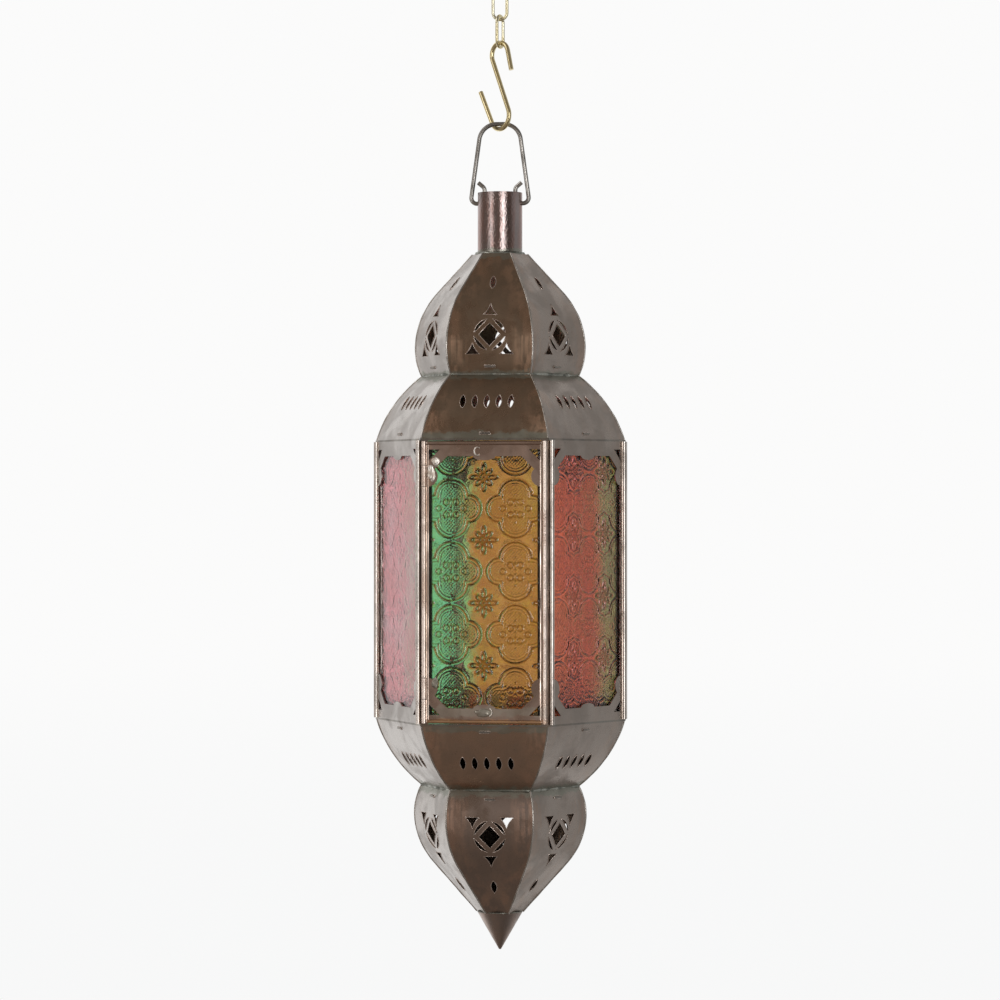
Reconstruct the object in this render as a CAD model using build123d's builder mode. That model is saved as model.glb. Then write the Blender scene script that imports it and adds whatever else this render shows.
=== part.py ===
from build123d import *
import math
import os

# Six-sided candle lantern of pierced sheet metal with coloured glass panes.
# It hangs by a wire bail from an S-hook and two chain links.
# Millimetres, +Z up. The origin is the inside top of the upper link, where the lantern hangs.
# The glazed door faces -Y, and the faces are numbered from it, anticlockwise seen from above.

sides = 6

# Chain links and S-hook
link_wire = 1.8
link_inner_width = 5.9
link_inner_length = 15.4
lower_link_turn_angle = 72
hook_wire = 2.6
hook_height = 50.0
hook_top_radius = 6.6
hook_bottom_radius = 7.4
hook_top_tip_length = 11.0
hook_bottom_tip_length = 20.0
hook_top_flare_angle = 15
hook_bottom_flare_angle = 28
hook_turn_angle = -40
hang_gap = 0.25

# Wire bail, whose ends pass in through the neck and out over its rim
bail_wire = 2.4
bail_height = 43.6
bail_half_width = 10.3
bail_crown_radius = 9.5
bail_stand_in = 3.35
bail_stand_out = 4.5
bail_bend_radius = 3.15
bail_knee_height = 8.5
bail_knee_radius = 3.0
bail_tip_out = 3.5
bail_tip_up = 3.0
pivot_clearance = 0.2
pivot_below_rim = 5.8

# Heights of the stacked sections, from the neck down
neck_height = 33.9
dome_height = 66.8
shoulder_height = 35.0
prism_height = 151.5
skirt_height = 35.8
finial_height = 69.2
cone_height = 20.8

# Sheet, plates and seams
sheet = 0.8
plate = 1.0
seam_gap = 0.1
throat_radius = 12.25
collar_radius = 10.1
throat_overlap = 4.0
throat_fit = 0.1

# Facet profiles, measured from the axis to the middle of a face
waist_apothem = 37.7
dome_bulge = 3.1
dome_bulge_height = 15.1
dome_flank_angle = 38.7
finial_bulge = 3.55
finial_bulge_height = 15.4
finial_flank_angle = 37.8
frame_apothem = 59.2
shoulder_inset = 0.5
shoulder_sagitta = 3.1

# Piercings, in the sizes seen from straight in front of a face
dome_flower_height = 21.3
finial_flower_height = 24.9
diamond_half_width = 6.0
diamond_half_height = 6.4
flower_radius = 8.6
flower_chord = 6.75
spike_half_base = 3.9
spike_height = 6.4
spike_hollow = 0.7
spike_top_base = 10.8
spike_side_base = 10.6
spike_side_offset = 9.3
dome_lens_drop = 16.7
finial_lens_drop = 15.7
lens_width = 3.2
lens_length = 7.3
lens_count = 5
lens_pitch = 6.5
shoulder_lens_drop = 15.0
skirt_lens_rise = 15.3

# Tabs of the inner plates, which lock through slots in the panels
tab_width = 5.5
tab_proud = 0.6
tab_fit = 0.15
dome_tab_height = 4.2
shoulder_tab_height = 2.8
skirt_tab_height = 3.2
finial_tab_height = 4.8
top_plate_rim = 15.0
waist_plate_rim = 9.45

# Pane frames, glass and corner posts
bead = 2.6
bead_inset = 1.68
side_border = 2.5
end_border = 8.0
corner_cut = 10.0
corner_window = 6.0
corner_window_end = 4.4
leaf_start = 13.2
leaf_length = 11.0
leaf_depth = 4.8
lobe_half_width = 6.0
lobe_depth = 2.2
glass = 2.5
glass_fit = 0.1
glass_end = 3.0
glass_overlap = 0.1
post_clearance = 0.5
clip_width = 6.0
clip_lip = 3.0

# Door and its hinge
door_gap = 0.5
door_proud = 0.3
hem = 2.0
pin = 1.2
pin_clearance = 0.05
knuckle_length = 11.0
knuckle_from_end = 19.0
knuckle_gap = 0.3
knuckle_leaf = 1.4

# Candle cup
cup_inner_radius = 20.0
cup_wall = 0.6
cup_height = 14.0

# Tip cone
cone_radius = 12.5
cone_tip = 0.6
cone_point = 2.5

# Levels worked out from the hang point down
corner_angle = 180 / sides
corner_cos = math.cos(math.radians(corner_angle))
corner_tan = math.tan(math.radians(corner_angle))
lower_link_top = hang_gap + link_wire / 2 - link_inner_length
lower_link_hollow = lower_link_top - link_wire / 2
hook_top = lower_link_hollow - link_inner_length + hang_gap + hook_wire / 2
hook_bottom = hook_top - hook_height + hook_wire
bail_top = hook_bottom + hook_wire / 2 + hang_gap + bail_wire / 2
pivot_level = bail_top - bail_height
rim_level = pivot_level + pivot_below_rim
dome_level = rim_level - neck_height
waist_level = dome_level - dome_height
top_plate_level = waist_level - shoulder_height
prism_top = top_plate_level - plate
prism_bottom = prism_top - prism_height
bottom_plate_level = prism_bottom - plate
low_waist_level = bottom_plate_level - skirt_height
cone_level = low_waist_level - finial_height

# Widths worked out from the driving sizes
frame_front = frame_apothem + sheet
shoulder_apothem = frame_front - shoulder_inset
frame_half = frame_apothem * corner_tan - bead_inset
window_half = frame_half - side_border
glass_half = window_half + glass_overlap
door_back = frame_apothem + door_proud
door_height = prism_height - 2 * door_gap
hinge_reach = door_back + bead / 2
prism_middle = prism_bottom + prism_height / 2
piercing_depth = frame_front + bead
slot_width = tab_width + 2 * tab_fit
slot_height = plate + 2 * tab_fit
top_plate_hole = frame_front - top_plate_rim
waist_plate_hole = waist_apothem - waist_plate_rim

os.makedirs("parts", exist_ok=True)


def save(piece, name):
    """Label a finished piece and write its file."""
    piece.label = name
    export_step(piece, f"parts/{name}.step")


def face_angle(number):
    """Direction of a face, with the door as face 1 at -Y."""
    return -90 + (number - 1) * 360 / sides


def save_ring(piece, name, first=1):
    """Write one copy of a piece for each face, turned about the axis."""
    for number in range(first, sides + 1):
        save(piece.rotate(Axis.Z, face_angle(number)), f"{name}_{number}")


def upright_plane(turn):
    """Vertical plane through the axis, turned about it, with Z as its second direction."""
    angle = math.radians(turn)
    return Plane(
        origin=(0, 0, 0),
        x_dir=(math.cos(angle), math.sin(angle), 0),
        z_dir=(math.sin(angle), -math.cos(angle), 0),
    )


def polar_point(center, radius, angle):
    """Point on a circle, with the angle in degrees."""
    turn = math.radians(angle)
    return (center[0] + radius * math.cos(turn), center[1] + radius * math.sin(turn))


# Chain links
def sweep_wire(path, wire):
    """Sweep a round wire along a path that has been drawn."""
    with BuildSketch(Plane(origin=path.line @ 0, z_dir=path.line % 0)) as section:
        Circle(wire / 2)
    sweep(section.sketch, path=path.line)


def draw_link(top):
    """Closed path of a link whose top wire is centred at this height."""
    half = (link_inner_width + link_wire) / 2
    high = top - half
    low = top - link_inner_length - link_wire + half
    middle = (high + low) / 2
    Line((half, middle), (half, high))
    CenterArc((0, high), half, 0, 180)
    Line((-half, high), (-half, low))
    CenterArc((0, low), half, 180, 180)
    Line((half, low), (half, middle))


with BuildPart() as upper_link:
    with BuildLine(upright_plane(0)) as link_path:
        draw_link(link_wire / 2)
    sweep_wire(link_path, link_wire)
save(upper_link.part, "chain_link_upper")

with BuildPart() as lower_link:
    with BuildLine(upright_plane(lower_link_turn_angle)) as link_path:
        draw_link(lower_link_top)
    sweep_wire(link_path, link_wire)
save(lower_link.part, "chain_link_lower")

# S-hook: two bends above each other, joined by their inner tangent
top_bend = (0, hook_top - hook_top_radius)
bottom_bend = (0, hook_bottom + hook_bottom_radius)
bend_distance = top_bend[1] - bottom_bend[1]
shank_angle = math.degrees(math.asin((hook_top_radius + hook_bottom_radius) / bend_distance))
with BuildPart() as s_hook:
    with BuildLine(upright_plane(hook_turn_angle)) as hook_path:
        top_end = polar_point(top_bend, hook_top_radius, hook_top_flare_angle)
        top_tip = polar_point(top_end, hook_top_tip_length, hook_top_flare_angle - 90)
        Line(top_tip, top_end)
        CenterArc(top_bend, hook_top_radius, hook_top_flare_angle, 180 + shank_angle - hook_top_flare_angle)
        Line(
            polar_point(top_bend, hook_top_radius, 180 + shank_angle),
            polar_point(bottom_bend, hook_bottom_radius, shank_angle),
        )
        CenterArc(bottom_bend, hook_bottom_radius, shank_angle, hook_bottom_flare_angle - 180 - shank_angle)
        bottom_end = polar_point(bottom_bend, hook_bottom_radius, hook_bottom_flare_angle - 180)
        Line(bottom_end, polar_point(bottom_end, hook_bottom_tip_length, hook_bottom_flare_angle + 90))
    sweep_wire(hook_path, hook_wire)
save(s_hook.part, "s_hook")

# Bail: through each wall of the neck, up inside it and out over the rim
neck_wall_middle = throat_radius - sheet / 2
bail_inner = neck_wall_middle - bail_stand_in
bail_outer = neck_wall_middle + bail_stand_out
right_bail = [
    (bail_inner + bail_tip_out, pivot_level + bail_knee_height + bail_tip_up),
    (bail_inner, pivot_level + bail_knee_height),
    (bail_inner, pivot_level),
    (bail_outer, pivot_level),
    (bail_half_width, bail_top),
]
left_bail = [(-across, level) for across, level in reversed(right_bail)]
right_bends = [bail_knee_radius, bail_bend_radius, bail_bend_radius, bail_crown_radius]
with BuildPart() as bail:
    with BuildLine(upright_plane(0)) as bail_path:
        FilletPolyline(*right_bail, *left_bail, radius=right_bends + right_bends[::-1])
    sweep_wire(bail_path, bail_wire)
save(bail.part, "bail")

# Neck tube, with the two holes that the bail turns in
neck_length = neck_height + throat_overlap
with BuildPart(Plane.XY.offset(rim_level - neck_length)) as neck_tube:
    Cylinder(throat_radius, neck_length, align=(Align.CENTER, Align.CENTER, Align.MIN))
    Cylinder(
        throat_radius - sheet,
        neck_length,
        align=(Align.CENTER, Align.CENTER, Align.MIN),
        mode=Mode.SUBTRACT,
    )
    with Locations((0, 0, neck_length - pivot_below_rim)):
        Cylinder(
            bail_wire / 2 + pivot_clearance,
            3 * throat_radius,
            rotation=(0, 90, 0),
            mode=Mode.SUBTRACT,
        )
save(neck_tube.part, "neck_tube")


# Petals of the dome and of the finial
class Petal:
    """Onion-shaped facet from its waist to the throat, as arcs that meet a straight flank."""

    def __init__(self, base, up, height, bulge, bulge_height, flank, throat):
        self.base = base
        self.up = up
        self.height = height
        self.bulge_height = bulge_height
        self.flank = flank
        flank_turn = math.radians(flank)
        slope = math.tan(flank_turn)
        end = throat + throat_fit + sheet / math.cos(flank_turn)
        widest = waist_apothem + bulge
        spare = end + slope * height - widest - slope * bulge_height
        self.high_radius = spare / (1 / math.cos(flank_turn) - 1)
        self.low_radius = (bulge**2 + bulge_height**2) / (2 * bulge)
        self.high_center = widest - self.high_radius
        self.low_center = widest - self.low_radius

    def low_reach(self, rise, inset):
        """Apothem of the lower arc at a height above the waist."""
        radius = self.low_radius - inset
        return self.low_center + math.sqrt(radius**2 - (self.bulge_height - rise) ** 2)

    def place(self, reach, rise):
        """Point of the profile, at its level on the lantern."""
        return (reach, self.base + self.up * rise)

    def draw(self, inset):
        """Draw the profile moved in by inset, and return its two ends."""
        low_middle = self.bulge_height / 2
        start = self.place(self.low_reach(0, inset), 0)
        widest = self.place(self.low_center + self.low_radius - inset, self.bulge_height)
        ThreePointArc(start, self.place(self.low_reach(low_middle, inset), low_middle), widest)
        high = (self.high_center, self.bulge_height)
        radius = self.high_radius - inset
        tangent = polar_point(high, radius, self.flank)
        high_middle = polar_point(high, radius, self.flank / 2)
        ThreePointArc(widest, self.place(*high_middle), self.place(*tangent))
        run = (self.height - tangent[1]) * math.tan(math.radians(self.flank))
        end = self.place(tangent[0] - run, self.height)
        Line(self.place(*tangent), end)
        return start, end


# Panels of the shoulder and of the skirt
class Cove:
    """Bowed facet from a waist to one end of the glazed prism, as a single arc."""

    def __init__(self, waist, up, height):
        self.waist = waist
        self.foot = waist - up * height
        chord_out = shoulder_apothem - waist_apothem
        chord = math.hypot(chord_out, height)
        self.radius = (chord**2 / 4 + shoulder_sagitta**2) / (2 * shoulder_sagitta)
        back = self.radius - shoulder_sagitta
        self.center_reach = (waist_apothem + shoulder_apothem) / 2 - back * height / chord
        self.center_level = (self.waist + self.foot) / 2 - up * back * chord_out / chord

    def reach(self, level, inset):
        """Apothem of the facet at a level."""
        radius = self.radius - inset
        return self.center_reach + math.sqrt(radius**2 - (level - self.center_level) ** 2)

    def draw(self, inset):
        """Draw the profile moved in by inset, and return its two ends."""
        middle = (self.waist + self.foot) / 2
        start = (self.reach(self.waist, inset), self.waist)
        end = (self.reach(self.foot, inset), self.foot)
        ThreePointArc(start, (self.reach(middle, inset), middle), end)
        return start, end


def bend_panel(profile):
    """Make one bent facet and trim it along its two seams."""
    with BuildSketch(Plane.XZ) as section:
        with BuildLine():
            outer = profile.draw(0)
            inner = profile.draw(sheet)
            Line(outer[0], inner[0])
            Line(outer[1], inner[1])
        make_face()
    extrude(section.sketch, amount=piercing_depth, both=True)
    turn = math.radians(corner_angle)
    for side in (-1, 1):
        outward = Vector(-math.sin(turn), side * math.cos(turn), 0)
        split(bisect_by=Plane(origin=outward * (-seam_gap / 2), z_dir=outward), keep=Keep.BOTTOM)


def cut_lens(across, level, width, length):
    """Pointed oval slot, longest along the height."""
    low = (across, level - length / 2)
    high = (across, level + length / 2)
    with BuildLine() as outline:
        ThreePointArc(low, (across + width / 2, level), high)
        ThreePointArc(high, (across - width / 2, level), low)
    make_face(outline.edges())


def cut_spike(across, base, up):
    """Triangle with hollow sides, pointing away from its base."""
    foot = base
    peak = base + up * spike_height
    flank_level = (foot + peak) / 2
    flank_half = spike_half_base / 2 - spike_hollow
    left = (across - spike_half_base, foot)
    right = (across + spike_half_base, foot)
    with BuildLine() as outline:
        Line(left, right)
        ThreePointArc(right, (across + flank_half, flank_level), (across, peak))
        ThreePointArc((across, peak), (across - flank_half, flank_level), left)
    make_face(outline.edges())


def cut_flower(level, up):
    """Diamond with four segments round it and three spikes."""
    with BuildLine() as diamond:
        Polyline(
            (diamond_half_width, level),
            (0, level + diamond_half_height),
            (-diamond_half_width, level),
            (0, level - diamond_half_height),
            close=True,
        )
    make_face(diamond.edges())
    chord_half = math.sqrt(flower_radius**2 - flower_chord**2)
    side_angle = math.degrees(math.atan2(diamond_half_width, diamond_half_height))
    for angle in (side_angle, 180 - side_angle, 180 + side_angle, -side_angle):
        spread = math.degrees(math.atan2(chord_half, flower_chord))
        start = polar_point((0, level), flower_radius, angle - spread)
        end = polar_point((0, level), flower_radius, angle + spread)
        with BuildLine() as segment:
            ThreePointArc(start, polar_point((0, level), flower_radius, angle), end)
            Line(end, start)
        make_face(segment.edges())
    cut_spike(0, level + up * spike_top_base, up)
    for across in (-spike_side_offset, spike_side_offset):
        cut_spike(across, level - up * spike_side_base, up)


def cut_slot(level):
    """Slot that a plate's tab locks through."""
    with Locations((0, level)):
        Rectangle(slot_width, slot_height)


dome = Petal(
    waist_level,
    1,
    dome_height,
    dome_bulge,
    dome_bulge_height,
    dome_flank_angle,
    throat_radius,
)
with BuildPart() as dome_petal:
    bend_panel(dome)
    with BuildSketch(Plane.YZ):
        cut_flower(waist_level + dome_flower_height, 1)
        cut_lens(0, dome_level - dome_lens_drop, lens_width, lens_length)
        cut_slot(waist_level + dome_tab_height)
    extrude(amount=piercing_depth, mode=Mode.SUBTRACT)
save_ring(dome_petal.part, "dome_petal")

finial = Petal(
    low_waist_level,
    -1,
    finial_height,
    finial_bulge,
    finial_bulge_height,
    finial_flank_angle,
    collar_radius,
)
with BuildPart() as finial_petal:
    bend_panel(finial)
    with BuildSketch(Plane.YZ):
        cut_flower(low_waist_level - finial_flower_height, -1)
        cut_lens(0, cone_level + finial_lens_drop, lens_width, lens_length)
        cut_slot(low_waist_level - finial_tab_height)
    extrude(amount=piercing_depth, mode=Mode.SUBTRACT)
save_ring(finial_petal.part, "finial_petal")


def cut_lens_row(level):
    """Row of slots across a panel."""
    for number in range(lens_count):
        across = (number - (lens_count - 1) / 2) * lens_pitch
        cut_lens(across, level, lens_width, lens_length)


shoulder = Cove(waist_level, 1, shoulder_height)
with BuildPart() as shoulder_panel:
    bend_panel(shoulder)
    with BuildSketch(Plane.YZ):
        cut_lens_row(waist_level - shoulder_lens_drop)
        cut_slot(top_plate_level + shoulder_tab_height)
    extrude(amount=piercing_depth, mode=Mode.SUBTRACT)
save_ring(shoulder_panel.part, "shoulder_panel")

skirt = Cove(low_waist_level, -1, skirt_height)
with BuildPart() as skirt_panel:
    bend_panel(skirt)
    with BuildSketch(Plane.YZ):
        cut_lens_row(low_waist_level + skirt_lens_rise)
        cut_slot(bottom_plate_level - skirt_tab_height)
    extrude(amount=piercing_depth, mode=Mode.SUBTRACT)
save_ring(skirt_panel.part, "skirt_panel")


# Plates inside the waists, whose tabs lock through the petals
def build_waist_plate(petal, tab_height):
    """Flat ring that fills the petals at one level, with a tab through each."""
    half = plate / 2
    levels = (tab_height - half, tab_height + half)
    inner = min(petal.low_reach(rise, sheet) for rise in levels) - throat_fit
    outer = max(petal.low_reach(rise, 0) for rise in levels) + tab_proud
    with BuildSketch(Plane.XY.offset(petal.base + petal.up * tab_height - half)) as ring:
        RegularPolygon(inner, sides, major_radius=False)
        with PolarLocations(0, sides, start_angle=face_angle(1)):
            with Locations((inner / 2, 0)):
                Rectangle(inner, tab_width)
            with Locations((outer - tab_width / 2, 0)):
                Rectangle(tab_width, tab_width)
        Circle(waist_plate_hole, mode=Mode.SUBTRACT)
    extrude(ring.sketch, amount=plate)


with BuildPart() as upper_waist_plate:
    build_waist_plate(dome, dome_tab_height)
save(upper_waist_plate.part, "upper_waist_plate")

with BuildPart() as lower_waist_plate:
    build_waist_plate(finial, finial_tab_height)
save(lower_waist_plate.part, "lower_waist_plate")


# Plates above and below the prism, with bent ears whose tabs lock through the panels
def build_end_plate(cove, plate_side, up, tab_height, hole):
    """Hexagonal plate with an ear and a tab for each panel that stands on it."""
    tab_level = plate_side + up * tab_height
    ear_end = tab_level + up * plate
    ear_reach = min(cove.reach(plate_side, sheet), cove.reach(ear_end, sheet)) - tab_fit
    tab_reach = cove.reach(tab_level, 0) + tab_proud
    with BuildSketch(Plane.XY.offset(plate_side)) as hexagon:
        RegularPolygon(frame_front, sides, major_radius=False)
        if hole:
            Circle(hole, mode=Mode.SUBTRACT)
    extrude(hexagon.sketch, amount=-up * plate)
    with BuildSketch(Plane.XY.offset(plate_side)) as ears:
        with PolarLocations(ear_reach - sheet / 2, sides, start_angle=face_angle(1)):
            Rectangle(sheet, tab_width)
    extrude(ears.sketch, amount=ear_end - plate_side)
    tab_length = tab_reach - ear_reach + sheet
    with BuildSketch(Plane.XY.offset(tab_level - plate / 2)) as tabs:
        with PolarLocations(tab_reach - tab_length / 2, sides, start_angle=face_angle(1)):
            Rectangle(tab_length, tab_width)
    extrude(tabs.sketch, amount=plate)


with BuildPart() as top_plate:
    build_end_plate(shoulder, top_plate_level, 1, shoulder_tab_height, top_plate_hole)
save(top_plate.part, "top_plate")

with BuildPart() as bottom_plate:
    build_end_plate(skirt, bottom_plate_level, -1, skirt_tab_height, None)
save(bottom_plate.part, "bottom_plate")

# Corner posts: bent strips behind the edges of two neighbouring frames
post_outer = frame_apothem / corner_cos
post_inner = (frame_apothem - sheet) / corner_cos
flange = frame_apothem * corner_tan - glass_half - post_clearance
flange_end = polar_point((post_outer, 0), flange, 90 + corner_angle)
flange_back = polar_point(flange_end, sheet, 180 + corner_angle)
with BuildPart() as corner_post:
    with BuildSketch(Plane.XY.offset(prism_bottom)):
        with BuildLine():
            Polyline(
                (post_outer, 0),
                flange_end,
                flange_back,
                (post_inner, 0),
                (flange_back[0], -flange_back[1]),
                (flange_end[0], -flange_end[1]),
                close=True,
            )
        make_face()
    extrude(amount=prism_height)
for number in range(1, sides + 1):
    turned_post = corner_post.part.rotate(Axis.Z, face_angle(number) + corner_angle)
    save(turned_post, f"corner_post_{number}")


# Pane frames
def face_plane(reach):
    """Plane of a face, centred on the prism, with its first direction across the face."""
    return Plane(origin=(reach, 0, prism_middle), x_dir=(0, 1, 0), z_dir=(1, 0, 0))


def cut_corner(side, end, height):
    """Small triangular window in one corner of a frame, beside the strut."""
    corner = (side * window_half, end * (height / 2 - corner_window_end))
    with BuildLine() as triangle:
        Polyline(
            corner,
            (corner[0] - side * corner_window, corner[1]),
            (corner[0], corner[1] - end * corner_window),
            close=True,
        )
    make_face(triangle.edges(), mode=Mode.SUBTRACT)


def add_leaf(side, end, height):
    """Leaf that stands in from the side of the window."""
    high = end * (height / 2 - leaf_start)
    low = high - end * leaf_length
    edge = side * window_half
    with BuildLine() as leaf:
        ThreePointArc((edge, high), (edge - side * leaf_depth, (high + low) / 2), (edge, low))
        Line((edge, low), (edge, high))
    make_face(leaf.edges())


def draw_pane_sheet(height):
    """Flat sheet of a frame with its window, corner windows, leaves and lobes."""
    window_end = height / 2 - end_border
    Rectangle(2 * frame_half, height)
    with BuildLine() as window:
        Polyline(
            (window_half - corner_cut, window_end),
            (corner_cut - window_half, window_end),
            (-window_half, window_end - corner_cut),
            (-window_half, corner_cut - window_end),
            (corner_cut - window_half, -window_end),
            (window_half - corner_cut, -window_end),
            (window_half, corner_cut - window_end),
            (window_half, window_end - corner_cut),
            close=True,
        )
    make_face(window.edges(), mode=Mode.SUBTRACT)
    for end in (-1, 1):
        for side in (-1, 1):
            cut_corner(side, end, height)
            add_leaf(side, end, height)
        with Locations((0, end * window_end)):
            Ellipse(lobe_half_width, lobe_depth)


def add_clips(back, height):
    """Tabs bent back from the frame that hold the glass at its two ends."""
    lip_back = glass + 2 * glass_fit + sheet
    for end in (-1, 1):
        edge = end * (height / 2 - glass_end + glass_fit)
        with Locations((back - lip_back / 2 + sheet / 4, 0, prism_middle + edge + end * sheet / 2)):
            Box(lip_back + sheet / 2, clip_width, sheet)
        with Locations((back - lip_back + sheet / 2, 0, prism_middle + edge - end * clip_lip / 2)):
            Box(sheet, clip_width, clip_lip)


def add_bead(reach, across, height):
    """Rolled bead along one side of a frame."""
    with Locations((reach, across, prism_middle)):
        Cylinder(bead / 2, height)


with BuildPart() as pane_frame:
    with BuildSketch(face_plane(frame_apothem)):
        draw_pane_sheet(prism_height)
    extrude(amount=sheet)
    add_bead(frame_apothem + bead / 2, frame_half, prism_height)
    add_bead(frame_apothem + bead / 2, -frame_half, prism_height)
    add_clips(frame_apothem, prism_height)
save_ring(pane_frame.part, "pane_frame", first=2)


def build_glass(back, height):
    """Flat pane behind a frame."""
    with Locations((back - glass_fit - glass / 2, 0, prism_middle)):
        Box(glass, 2 * glass_half, height - 2 * glass_end)


with BuildPart() as glass_pane:
    build_glass(frame_apothem, prism_height)
save_ring(glass_pane.part, "glass_pane", first=2)

# Door: a frame with hemmed ends, whose left bead is the barrel of the hinge
hinge_side = -frame_half
bore_radius = pin / 2 + pin_clearance
knuckle_levels = (
    prism_bottom + knuckle_from_end,
    prism_top - knuckle_from_end,
)
notch_half = bead / 2 + knuckle_gap
with BuildPart() as door_frame:
    with BuildSketch(face_plane(door_back)):
        draw_pane_sheet(door_height)
    extrude(amount=sheet)
    add_bead(hinge_reach, frame_half, door_height)
    add_bead(hinge_reach, hinge_side, door_height)
    for end in (-1, 1):
        with Locations((door_back + hem / 2, 0, prism_middle + end * (door_height - hem) / 2)):
            Cylinder(hem / 2, 2 * frame_half, rotation=(90, 0, 0))
    add_clips(door_back, door_height)
    for level in knuckle_levels:
        with Locations((hinge_reach, hinge_side, level)):
            Box(
                2 * notch_half,
                2 * notch_half,
                knuckle_length + 2 * knuckle_gap,
                mode=Mode.SUBTRACT,
            )
    with Locations((hinge_reach, hinge_side, prism_middle)):
        Cylinder(bore_radius, prism_height, mode=Mode.SUBTRACT)
save(door_frame.part.rotate(Axis.Z, face_angle(1)), "door_frame")

with BuildPart() as door_glass:
    build_glass(door_back, door_height)
save(door_glass.part.rotate(Axis.Z, face_angle(1)), "door_glass")

with BuildPart() as hinge_pin:
    with Locations((hinge_reach, hinge_side, prism_middle)):
        Cylinder(pin / 2, door_height)
save(hinge_pin.part.rotate(Axis.Z, face_angle(1)), "door_hinge_pin")

# Fixed knuckles, each with a leaf that is soldered to the corner post
with BuildPart() as hinge_knuckles:
    for level in knuckle_levels:
        with Locations((hinge_reach, hinge_side, level)):
            Cylinder(bead / 2, knuckle_length)
        with Locations(((frame_apothem + hinge_reach) / 2, hinge_side, level)):
            Box(hinge_reach - frame_apothem, knuckle_leaf, knuckle_length)
    with Locations((hinge_reach, hinge_side, prism_middle)):
        Cylinder(bore_radius, prism_height, mode=Mode.SUBTRACT)
save(hinge_knuckles.part.rotate(Axis.Z, face_angle(1)), "hinge_knuckles")

# Candle cup on the bottom plate
with BuildPart(Plane.XY.offset(prism_bottom)) as candle_cup:
    Cylinder(
        cup_inner_radius + cup_wall,
        cup_height,
        align=(Align.CENTER, Align.CENTER, Align.MIN),
    )
    with Locations((0, 0, cup_wall)):
        Cylinder(
            cup_inner_radius,
            cup_height,
            align=(Align.CENTER, Align.CENTER, Align.MIN),
            mode=Mode.SUBTRACT,
        )
save(candle_cup.part, "candle_cup")

# Tip: a rolled cone under the petals' ends, with a collar inside the finial
cone_top = cone_level - seam_gap
with BuildPart() as tip_cone:
    with BuildSketch(Plane.XZ):
        with BuildLine():
            Polyline(
                (collar_radius, cone_level + throat_overlap),
                (collar_radius, cone_top),
                (cone_radius, cone_top),
                (cone_tip, cone_level - cone_height),
                (0, cone_level - cone_height),
                (0, cone_level - cone_height + cone_point),
                (cone_radius - 2 * sheet, cone_top - sheet),
                (collar_radius - sheet, cone_top - sheet),
                (collar_radius - sheet, cone_level + throat_overlap),
                close=True,
            )
        make_face()
    revolve(axis=Axis.Z)
save(tip_cone.part, "tip_cone")
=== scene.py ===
"""Dress the hanging lantern: pierced antique sheet, wire hardware and pressed coloured glass."""
import logging
import math
from contextlib import contextmanager
from dataclasses import dataclass, replace
from enum import Enum
from typing import ClassVar, Iterator, Optional

import bpy
from mathutils import Matrix, Vector, noise


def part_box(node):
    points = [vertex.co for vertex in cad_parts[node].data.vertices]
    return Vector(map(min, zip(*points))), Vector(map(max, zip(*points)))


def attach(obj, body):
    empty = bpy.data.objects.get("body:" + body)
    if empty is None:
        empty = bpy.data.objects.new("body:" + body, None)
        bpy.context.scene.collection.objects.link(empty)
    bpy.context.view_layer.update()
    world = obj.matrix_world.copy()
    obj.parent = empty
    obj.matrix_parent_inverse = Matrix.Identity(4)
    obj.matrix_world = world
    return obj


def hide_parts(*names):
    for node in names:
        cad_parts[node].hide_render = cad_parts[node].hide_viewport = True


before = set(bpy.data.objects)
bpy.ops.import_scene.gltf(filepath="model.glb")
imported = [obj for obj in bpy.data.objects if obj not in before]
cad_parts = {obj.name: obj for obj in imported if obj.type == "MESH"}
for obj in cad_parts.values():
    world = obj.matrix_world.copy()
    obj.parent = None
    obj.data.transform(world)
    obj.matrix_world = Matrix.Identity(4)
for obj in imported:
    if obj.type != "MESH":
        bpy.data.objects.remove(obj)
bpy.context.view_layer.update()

MM = 0.001
CORNER = math.radians(30)
MERGE_DISTANCE = 0.000002
SMOOTH_ANGLE = math.radians(50)
UPPER_WAIST = -212.15
LOWER_WAIST = -436.45
PANELS = ("dome_petal", "shoulder_panel", "skirt_panel", "finial_petal")
RELIEF_SHARE = "relief_share"

Color = tuple[float, float, float]
Point = tuple[float, float, float]
Span = tuple[float, float]
Object = bpy.types.Object
Material = bpy.types.Material
Node = bpy.types.Node
Socket = bpy.types.NodeSocket
Outputs = bpy.types.NodeOutputs
log = logging.getLogger("lantern")


class Face(Enum):
    """A side of the lantern, numbered from the door, anticlockwise seen from above."""

    DOOR = 1
    FRONT_RIGHT = 2
    BACK_RIGHT = 3
    BACK = 4
    BACK_LEFT = 5
    FRONT_LEFT = 6

    @property
    def turn(self) -> float:
        """Turn of the face about the axis, from the door, in radians."""
        return math.radians(60 * (self.value - 1))


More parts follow.
